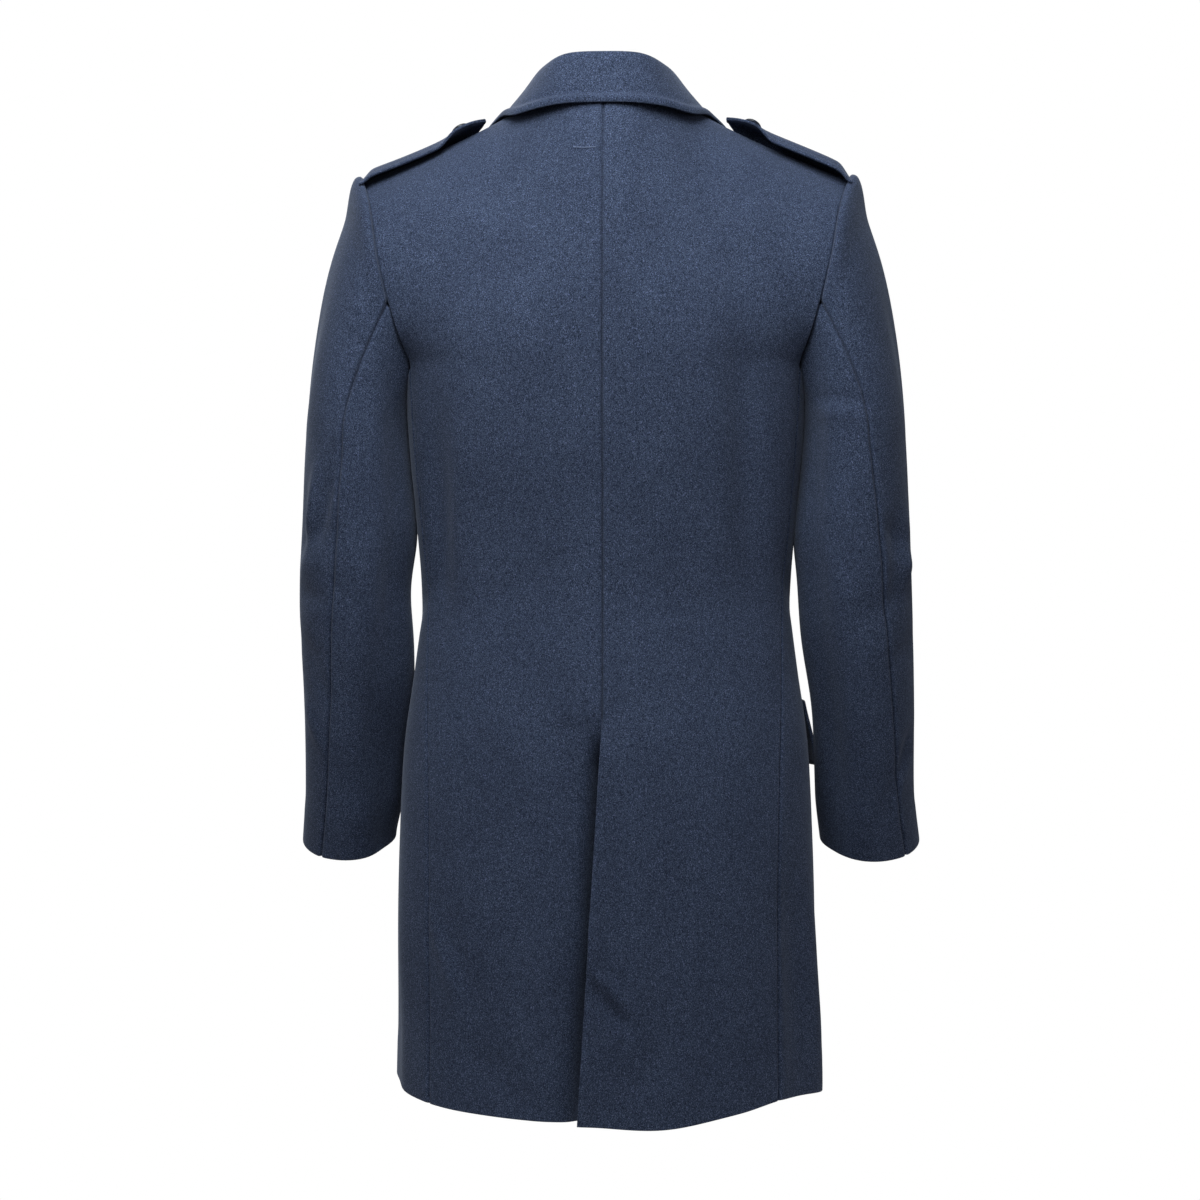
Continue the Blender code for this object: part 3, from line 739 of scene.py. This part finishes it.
def make_front(side, name):
    size = FRONT_SIZE

    def surface(across, up, side):
        return front_panel(sewn(across), rise_of(min(up, FRONT_TIP)), side)

    def relief(point, normal, across, up):
        rise = body_creases(point, normal)
        rise += rolled_seam((1 - up) * size[1]) + rolled_seam((1 - across) * size[0])
        if side == LEFT:
            rise += stitched_edge(across * size[0], STITCH_IN) * (1 - ease(point.z, -0.30, -0.27))
        return rise + pressed_hem(up * size[1], point) - sunk_front(point, side)

    piece = cloth(f"front_{name}", surface, size, FRONT_ROWS, side, relief, inside=LINING)


for side, name in SIDES:
    make_front(side, name)


# The sleeves: a top sleeve and an under sleeve each, joined by a seam at the front of the arm
# and one behind, and set into the armhole with a padded head that stands proud of the seam.
# The seam columns are angles round the sleeve, 0 outside and 90 behind.
SLEEVE = table(
    "height out back half_width half_depth lean seam_left seam_right out_right",
    (-0.736, 0.2590, -0.046, 0.0500, 0.058, 20, 57, 46, 0.0060),  # cuff
    (-0.690, 0.2548, -0.032, 0.0500, 0.060, 16, 60, 49, 0.0045),  # wrist
    (-0.600, 0.2512, -0.010, 0.0517, 0.064, 9, 66, 56, 0.0047),  # forearm
    (-0.495, 0.2465, 0.010, 0.0585, 0.068, 3, 70, 60, -0.0010),  # elbow
    (-0.410, 0.2485, 0.009, 0.0535, 0.076, 0, 79, 69, -0.0010),  # upper arm
    (-0.335, 0.2500, 0.005, 0.0490, 0.083, 0, 86, 80, -0.0010),  # biceps
)
SLEEVE_CLEAR = 0.0005
ARMHOLE_MIDDLE = (0.15, 0, -0.17)  # point inside the coat that the armhole seam turns towards
BACK_JOIN, FRONT_JOIN = 122, 238  # angles of the side seams round the armhole
SLEEVE_TOP_SEAM = BACK_JOIN * 2 / 3  # angle of the back seam at the armhole
HEAD_RISE, HEAD_LIFT = 0.0060, 0.0070  # of the padded sleeve head
TOP_SIZE, TOP_ROWS = (0.205, 0.670), 0.0052
UNDER_SIZE, UNDER_ROWS = (0.150, 0.540), 0.0065
SLEEVE_CREASES = {  # seen from behind
    LEFT: in_mm(
        (200, -240, 204, -520, 16, -10),
        (206, -500, 222, -740, 22, -12),
        (281, -366, 293, -444, 4.5, 5.6),
        (266, -380, 281, -436, 6, -4.4),
        (296, -380, 302, -450, 5, -4),
        (297, -596, 280, -644, 5, 4.8),
        (290, -560, 268, -600, 8, -2.6),
        (248, -300, 260, -350, 7, 3),
        (252, -368, 262, -420, 8, 3.4),
        (240, -505, 268, -470, 9, -3),
        (236, -560, 262, -540, 9, 2.2),
        (228, -590, 236, -680, 10, -3.4),
        (262, -655, 244, -700, 9, -2.6),
        (236, -180, 244, -230, 6, 2.2),
        (228, -200, 224, -270, 6, -2.2),
    ),
    RIGHT: in_mm(
        (-200, -240, -202, -520, 17, -10.5),
        (-204, -500, -226, -740, 24, -12),
        (-298, -405, -296, -486, 4.5, 5.6),
        (-285, -410, -284, -490, 6, -4.4),
        (-306, -622, -293, -666, 5, -6),
        (-293, -664, -275, -716, 5, -6),
        (-299, -655, -283, -702, 5, 4.4),
        (-208, -296, -252, -304, 6, -3.4),
        (-208, -308, -250, -320, 7, 2.2),
        (-232, -196, -244, -226, 5, 2.6),
        (-240, -515, -285, -500, 10, -2.6),
        (-245, -560, -280, -540, 9, 2),
        (-226, -420, -238, -480, 9, -2.4),
    ),
}
LEANS = {  # where the under sleeve rests on the body: height half_height depth
    LEFT: in_mm(
        (-350, 100, 5.6),
        (-425, 34, 3.6),
        (-487, 40, -7),
        (-590, 45, 5.5),
        (-735, 30, -6),
    ),
    RIGHT: in_mm(
        (-350, 100, 5.6),
        (-428, 32, 4.2),
        (-490, 45, -4.2),
    ),
}
ELBOW_CREASES = in_mm(  # seen from a side: the bend of the arm draws these in
    (-75, -430, -20, -470, 9, -5),
    (-72, -505, -18, -500, 8, -5.4),
    (-80, -560, -25, -530, 9, -4.3),
    (-68, -468, -26, -487, 7, 3.6),
    (-45, -300, -30, -400, 12, -2.9),
    (30, -200, 20, -320, 14, -2.5),
    (-85, -640, -40, -610, 9, -3.6),
    (40, -440, 75, -425, 8, -3.4),
    (36, -462, 76, -458, 8, 2.6),
    (34, -485, 72, -494, 9, -3.8),
    (20, -530, 58, -556, 10, -3),
    (10, -110, -20, -170, 14, -2.2),
    (-20, -560, -50, -690, 14, -3),
)


def armhole(angle, side):
    """Point of the armhole seam at an angle round the sleeve."""
    if angle < BACK_JOIN:
        return armhole_edge("back_seam", 1 - angle / BACK_JOIN, side)
    if angle < FRONT_JOIN:
        return side_panel((angle - BACK_JOIN) / (FRONT_JOIN - BACK_JOIN), 1, side)
    return armhole_edge("front_seam", (angle - FRONT_JOIN) / (360 - FRONT_JOIN), side)


def sleeve_ring(angle, height, side):
    """Point round the sleeve below the armhole."""
    turn, lean = math.radians(angle), math.radians(level(SLEEVE, "lean", height))
    out = level(SLEEVE, "out", height) + level(SLEEVE, "half_width", height) * math.cos(turn)
    if side == RIGHT:
        out += level(SLEEVE, "out_right", height)
    deep = level(SLEEVE, "half_depth", height) * math.sin(turn)
    return Vector((
        side * (out + SLEEVE_CLEAR),
        level(SLEEVE, "back", height) + deep * math.cos(lean),
        height - deep * math.sin(lean),
    ))


def sleeve(angle, fall, side):
    """Sleeve: fall 0 at the armhole, 1 at the biceps, 2 at the cuff."""
    angle = angle % 360
    cuff, biceps = SLEEVE["height"][0], SLEEVE["height"][-1]
    if fall > 1:
        return sleeve_ring(angle, mix(biceps, cuff, fall - 1), side)
    turn = math.radians(angle)
    head, arm = armhole(angle, side), sleeve_ring(angle, biceps, side)
    head.x += side * SLEEVE_CLEAR
    reach = (arm - head).length
    outward = (0.35 + 0.25 * math.cos(turn)) * side
    leave = Vector((outward, 0.25 * math.sin(turn), -0.8)) * reach * 0.55
    arrive = Vector((0, 0.01 * math.cos(turn), -1)) * reach
    return bend(head, leave, arm, arrive, fall)


def sleeve_seam(fall, side):
    """Angle of the back seam round the sleeve."""
    column = "seam_left" if side == LEFT else "seam_right"
    cuff, biceps = SLEEVE["height"][0], SLEEVE["height"][-1]
    if fall > 1:
        return level(SLEEVE, column, mix(biceps, cuff, fall - 1))
    return mix(SLEEVE_TOP_SEAM, level(SLEEVE, column, biceps), ease(fall, 0, 1))


def make_sleeve(side, name):
    def fall_of(up):
        return 2 * (1 - up) if up < 0.5 else 1 - (2 * up - 1) * 0.999

    def set_in(point, down):
        """The sleeve's top edge turns in to the armhole, as the body's edges there do."""
        inwards = mirrored(ARMHOLE_MIDDLE, side) - point
        return point + inwards.normalized() * -rolled_seam(down)

    def top(across, up, side):
        fall = fall_of(up)
        angle = mix(sleeve_seam(fall, side), FRONT_JOIN - 360, sewn(across))
        lifted = ease(fall, 0, 0.02) * (1 - ease(fall, 0.03, 0.25))
        crown = max(math.cos(math.radians(angle)), 0) ** 2
        point = sleeve(angle, fall, side) + Vector((0, 0, HEAD_LIFT * lifted * crown))
        return set_in(point, (1 - up) * TOP_SIZE[1])

    def under(across, up, side):
        fall = fall_of(up)
        angle = mix(FRONT_JOIN, sleeve_seam(fall, side), sewn(across))
        point = sleeve(angle, fall, side)
        return set_in(point, (1 - up) * UNDER_SIZE[1])

    def folds(point, normal, across, up, size):
        rise = creases(point, normal, "back", SLEEVE_CREASES[side])
        rise += creases(point, normal, name, ELBOW_CREASES)
        rise += rolled_seam(from_edge(across, size[0]))
        return rise + 0.0006 * (1 - ease(up * size[1], 0.030, 0.038))

    def top_relief(point, normal, across, up):
        down = (1 - up) * TOP_SIZE[1]
        crown = math.sin(math.pi * across) ** 0.5
        head = HEAD_RISE * ease(down, 0, 0.008) * (1 - ease(down, 0.012, 0.075)) * crown
        return folds(point, normal, across, up, TOP_SIZE) + head

    def under_relief(point, normal, across, up):
        rise = folds(point, normal, across, up, UNDER_SIZE)
        for at, half_height, deep in LEANS[side]:
            rise += deep * swell(point.z, at, half_height) * ease(-normal.x * side, 0.4, 0.95)
        return rise

    piece = cloth(f"top_sleeve_{name}", top, TOP_SIZE, TOP_ROWS, side, top_relief, inside=LINING)
    piece = cloth(
        f"under_sleeve_{name}", under, UNDER_SIZE, UNDER_ROWS, side, under_relief, inside=LINING
    )


for side, name in SIDES:
    make_sleeve(side, name)


# The lapels, faced in the same wool and turned back on the fronts. They are two layers thick,
# stitched 6 mm from the edge, as the fronts are.
LAPEL_REACH = 0.50  # share of the front that a lapel covers at its peak
LAPEL_TOP = 1.60
LAPEL_FOOT = {LEFT: (1.03, 1.03), RIGHT: (1.41, 1.29)}  # at the roll line and the outer edge
LAPEL_SIZE, LAPEL_ROWS = {LEFT: (0.105, 0.215), RIGHT: (0.105, 0.100)}, 0.0034
LAPEL_CLEAR = DOUBLE_WALL + 0.0008


def lapel(across, up, side):
    """Point of the front under the lapel: across 0 by the roll line, 1 at the outer edge."""
    across = mix(0.004, 1, across)
    rise = mix(mix(*LAPEL_FOOT[side], across), LAPEL_TOP, up)
    reach = LAPEL_REACH * ((rise - 1) / (LAPEL_TOP - 1)) ** 0.8
    return front_panel(1 - across * reach, rise, side)


def make_lapel(side, name):
    size = LAPEL_SIZE[side]

    def relief(point, normal, across, up):
        local = size[0] * (mix(0.2, 1, up) if side == LEFT else 1)
        rise = stitched_edge((1 - across) * local, STITCH_IN)
        rise += stitched_edge((1 - up) * size[1], STITCH_IN)
        return rise + LAPEL_CLEAR - sunk_front(point, side)

    piece = cloth(f"lapel_{name}", lapel, size, LAPEL_ROWS, side, relief, DOUBLE_WALL)


for side, name in SIDES:
    make_lapel(side, name)


# The collar: a stand that is sewn to the neck, and a fall that turns down over it. The fall
# is two layers of wool, rolled full at the crest and stitched 11 mm from its puffed edge.
COLLAR = table(  # share from the nape to the roll line, then mm
    "share neck_x neck_y neck_z stand_x stand_y stand_z edge_x edge_y edge_z",
    (-0.20, -40, 69, 0, -36, 69, 32.8, -49, 81.8, -13),
    (0.00, 0, 78, 0, 0, 76, 33.5, 0, 89, -12),
    (0.20, 40, 69, 0, 36, 69, 32.8, 49, 81.8, -13),
    (0.40, 72, 38, -1, 57, 37, 28, 88.5, 50, -16.5),
    (0.55, 82, 2, -2, 65, 4, 22, 108, 6, -12.5),
    (0.75, 76.5, -42, -21, 65, -41, -2, 130, -34, -33),
    (1.00, 61, -83, -58.5, 59, -83, -50, 122, -80, -76),
)
CREST_OUT, CREST_UP = 0.014, 0.040  # how the fall leaves the stand, over its rolled crest
COLLAR_STITCH_IN = 0.011
FALL_WALL = 0.0019
FALL_SIZE, FALL_ROWS = (0.560, 0.062), 0.0024
STAND_SIZE, STAND_ROWS = (0.400, 0.034), 0.0060


def collar_point(place, share):
    """Point of the collar's neck seam, stand top or edge; share is under 0 on the right."""
    x, y, z = (level(COLLAR, f"{place}_{axis}", abs(share)) / 1000 for axis in "xyz")
    return Vector((x if share >= 0 else -x, y, z))


def collar_stand(across, rise, side):
    share = 1 - 2 * across
    foot = collar_point("neck", share) + Vector((0, 0, NECK_GAP))
    return foot.lerp(collar_point("stand", share), rise)


def collar_fall(across, up, side):
    """Collar's visible side: up 0 at its outer edge, 1 where it leaves the stand."""
    share = 1 - 2 * across
    top, edge = collar_point("stand", share), collar_point("edge", share)
    away = Vector((top.x, top.y, 0)).normalized()
    top += Vector((0, 0, 0.0036)) - away * WALL
    leave = away * CREST_OUT + Vector((0, 0, CREST_UP))
    return bend(top, leave, edge, edge - top, 1 - up)


def make_collar():
    def plain(point, normal, across, up):
        return 0

    def fall_relief(point, normal, across, up):
        edge = min(up * FALL_SIZE[1], from_edge(across, FALL_SIZE[0]))
        rise = stitched_edge(edge, COLLAR_STITCH_IN, 0.0012)
        if edge < COLLAR_STITCH_IN:
            rise += 0.0016 * math.sin(math.pi * edge / COLLAR_STITCH_IN)
        rise += 0.0003 * math.sin(across * 61) * swell(edge, 0.004, 0.006)
        return rise - 0.0018 * (1 - ease(up, 0.4, 0.8))

    piece = cloth("collar_stand", collar_stand, STAND_SIZE, STAND_ROWS, LEFT, plain)
    piece = cloth("collar_fall", collar_fall, FALL_SIZE, FALL_ROWS, LEFT, fall_relief, FALL_WALL)


make_collar()


# The shoulder straps, two layers of wool each, sewn into the armhole seam and buttoned by the
# collar. They stand off the shoulder, with a knee over the button, and are stitched 6 mm in.
STRAP = table(
    "along width lift_left lift_right",
    (0.00, 0.053, 0.0000, 0.0000),
    (0.10, 0.052, 0.0012, 0.0055),
    (0.35, 0.049, 0.0012, 0.0078),
    (0.65, 0.045, 0.0018, 0.0078),
    (0.82, 0.042, 0.0040, 0.0072),  # knee over the button's shank
    (0.90, 0.036, 0.0034, 0.0050),
    (1.00, 0.010, 0.0012, 0.0015),
)
STRAP_OUTER, STRAP_INNER = 1.0, 0.235  # shares of the shoulder seam
STRAP_DROP = {LEFT: (0.0105, 0.0160), RIGHT: (0.0120, 0.0220)}  # of its back and front edges
STRAP_CROWN, STRAP_CLEAR = 0.0026, DOUBLE_WALL + 0.0014
STRAP_SIZE, STRAP_ROWS, STRAP_WALL = (0.135, 0.050), 0.0030, 0.0026
LIGHT_STITCH = 0.0004  # depth of the stitched groove on small pieces


def strap(along, across, side):
    """Shoulder strap: along 0 at the armhole, 1 at its point; across 0 behind, 1 in front."""
    point = shoulder_seam(mix(STRAP_OUTER, STRAP_INNER, along), side)
    off = 1 - 2 * across
    point.y += level(STRAP, "width", along) / 2 * off
    lift = level(STRAP, "lift_left" if side == LEFT else "lift_right", along)
    point.z += STRAP_CLEAR + lift
    back, front = STRAP_DROP[side]
    drop = back * (1 - 0.9 * ease(along, 0.62, 0.76)) if off > 0 else front
    drop *= ease(along, -0.1, 0.1) * (1 - 0.85 * ease(along, 0.84, 1))
    point.z += STRAP_CROWN - drop * off * off
    point.z -= (STRAP_CROWN + STRAP_CLEAR) * (1 - ease(along, 0, 0.10))
    return point


def make_strap(side, name):
    def relief(point, normal, across, up):
        edge = min(from_edge(up, STRAP_SIZE[1]), (1 - across) * STRAP_SIZE[0])
        return stitched_edge(edge, STITCH_IN, LIGHT_STITCH)

    piece = cloth(f"shoulder_strap_{name}", strap, STRAP_SIZE, STRAP_ROWS, side, relief, STRAP_WALL)


for side, name in SIDES:
    make_strap(side, name)


# The pocket flaps, two layers of wool, sewn over the pockets on the hips. Only the top edge is
# fixed, so the rest stands off the coat a little.
FLAP_FRONT, FLAP_BACK = 131, {LEFT: 105, RIGHT: 98}
FLAP_TOP, FLAP_DEPTH = -0.594, 0.068
FLAP_STAND = {LEFT: 0.0030, RIGHT: 0.0055}
FLAP_SIZE, FLAP_ROWS = {LEFT: (0.080, 0.070), RIGHT: (0.100, 0.070)}, 0.0032
FLAP_CLEAR = DOUBLE_WALL + 0.0012


def flap(across, up, side):
    """Point of the body under the flap: across 0 at its front end."""
    angle = mix(FLAP_FRONT, FLAP_BACK[side], across)
    return body(side * angle, FLAP_TOP - FLAP_DEPTH * (1 - up))


def make_flap(side, name):
    size = FLAP_SIZE[side]

    def relief(point, normal, across, up):
        edge = min(from_edge(across, size[0]), up * size[1])
        stand = FLAP_STAND[side] * ease(FLAP_TOP - point.z, 0, FLAP_DEPTH)
        rise = stitched_edge(edge, STITCH_IN, LIGHT_STITCH) + rolled_seam((1 - up) * size[1])
        return rise + FLAP_CLEAR + stand

    piece = cloth(f"pocket_flap_{name}", flap, size, FLAP_ROWS, side, relief, DOUBLE_WALL)


for side, name in SIDES:
    make_flap(side, name)


# The buttons: dark cast polyester with a dished face and four holes, sewn on through a shank of
# thread. Three pairs close the fronts, and a small one holds each shoulder strap.
# Those on the wearer's right pass through buttonholes, worked in the left front with thread.
BUTTON_OUT = 0.070  # from the centre front
BUTTON_HEIGHTS = (-0.315, -0.430, -0.545)
FRONT_BUTTON, STRAP_BUTTON = (0.0145, 0.0040), (0.0100, 0.0026)  # radius, thickness
BUTTON_LIFT, STRAP_BUTTON_LIFT = 0.0012, 0.0017
ON_STRAP = (0.80, 0.66)  # shares of the strap's length and width
THREAD, SHANK = 0.0005, 0.0015  # radii, the thread drawn twice as thick as spun
RIM, DISH = 0.26, 0.28  # width of the rim, depth of the face: shares of radius and thickness
DRILL, DRILL_OUT = 0.085, 0.26  # radius of a hole and its way out: shares of the radius
HOLE_LENGTH, HOLE_IN, HOLE_LIFT = 0.026, 0.009, 0.0002  # of a buttonhole
HOLE_BAR, HOLE_THICK = 0.0014, 0.0010  # half the bar's width, and its thickness
SWIRL = (0.004, 0.009, 0.006)  # size of the swirls in metres
CHEST_SPAN = 60  # degrees round the body that chest's across counts as 1


def cast_button():
    """Polyester, cast with a swirl of two dark blues and tumbled to a soft shine."""
    material, tree, shader = finished("cast_polyester", Roughness=0.32, IOR=1.54)
    swirl = ramp(tree, noise(tree, SWIRL, 2.0), (0.35, "#10131c"), (0.7, "#222838"))
    tree.links.new(swirl, shader.inputs["Base Color"])
    return material


POLYESTER = cast_button()
COTTON = finished("navy_cotton_thread", Base_Color=srgb("#1d2434"), Roughness=0.8)[0]


def lying_on(surface, across, up, side, lift):
    """Place of a thing that lies on a cloth, its Z outwards."""
    step = 0.01
    right = surface(across + step, up, side) - surface(across - step, up, side)
    above = surface(across, up + step, side) - surface(across, up - step, side)
    outward = right.cross(above).normalized() * side
    turned = outward.to_track_quat("Z", "Y").to_matrix().to_4x4()
    return Matrix.Translation(surface(across, up, side) + outward * lift) @ turned


def make_button(node, place, size):
    radius, thickness = size
    form = bmesh.new()
    rod(form, 48, radius, thickness, Matrix())
    caps = [face for face in form.faces if len(face.verts) == 48]
    face = max(caps, key=lambda cap: cap.calc_center_median().z)
    rim = [edge for cap in caps for edge in cap.edges]
    bmesh.ops.inset_region(form, faces=[face], thickness=radius * RIM, depth=0)
    bmesh.ops.inset_region(form, faces=[face], thickness=radius * 0.12, depth=-thickness * DISH)
    bmesh.ops.bevel(
        form, geom=rim, offset=thickness * 0.3, affect="EDGES", segments=3, profile=0.5, material=-1
    )
    piece = hard_piece(f"polyester_{node}", form, POLYESTER, Matrix())
    cutter = bmesh.new()
    for turn in (45, 135, 225, 315):
        out = Matrix.Translation((radius * DRILL_OUT, 0, 0))
        spot = Matrix.Rotation(math.radians(turn), 4, "Z") @ out
        rod(cutter, 12, radius * DRILL, thickness * 3, spot)
    holes = made_of("holes", cutter)
    drilled = piece.modifiers.new("drilled", "BOOLEAN")
    drilled.object, drilled.solver, drilled.operation = holes, "EXACT", "DIFFERENCE"
    shown = piece.evaluated_get(bpy.context.evaluated_depsgraph_get())
    plain, piece.data = piece.data, bpy.data.meshes.new_from_object(shown)
    piece.modifiers.remove(drilled)
    bpy.data.objects.remove(holes)
    bpy.data.meshes.remove(plain)
    piece.data.transform(place)
    piece.data.shade_smooth()
    piece.data.set_sharp_from_angle(angle=math.radians(35))
    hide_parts(node)

    threads = bmesh.new()
    for turn in (45, 135):
        laid = Matrix.Rotation(math.radians(turn), 4, "Z") @ Matrix.Rotation(math.pi / 2, 4, "Y")
        rod(threads, 8, THREAD, radius * 0.56, Matrix.Translation((0, 0, thickness * 0.28)) @ laid)
    rod(threads, 12, SHANK, thickness, Matrix.Translation((0, 0, -thickness * 0.9)))
    hard_piece(f"thread_{node}", threads, COTTON, place)


def make_buttonhole(name, place):
    """A worked buttonhole: a rounded bar of close stitches."""
    form = bmesh.new()
    rod(form, 24, 1, 1, Matrix())
    for vert in form.verts:
        end = math.copysign(HOLE_LENGTH / 2 - HOLE_BAR, vert.co.x)
        vert.co = (vert.co.x * HOLE_BAR + end, vert.co.y * HOLE_BAR, vert.co.z * HOLE_THICK)
    hard_piece(name, form, COTTON, place)


def chest(across, up, side):
    """The fronts by their buttons: across from the wearer's left to right, up in metres."""
    return body(180 + across * CHEST_SPAN, up)


for row, height in enumerate(BUTTON_HEIGHTS, start=1):
    for name, out in (("left", BUTTON_OUT), ("right", -BUTTON_OUT)):
        across = -angle_at(out, height) / CHEST_SPAN
        lift = BUTTON_LIFT + FRONT_BUTTON[1] / 2
        place = lying_on(chest, across, height, RIGHT, lift)
        make_button(f"button_{name}_{row}", place, FRONT_BUTTON)
    across = angle_at(BUTTON_OUT - HOLE_IN, height) / CHEST_SPAN
    place = lying_on(chest, across, height, RIGHT, HOLE_LIFT)
    make_buttonhole(f"thread_buttonhole_{row}", place)

for side, name in SIDES:
    place = lying_on(strap, *ON_STRAP, side, STRAP_BUTTON_LIFT)
    make_button(f"strap_button_{name}", place, STRAP_BUTTON)
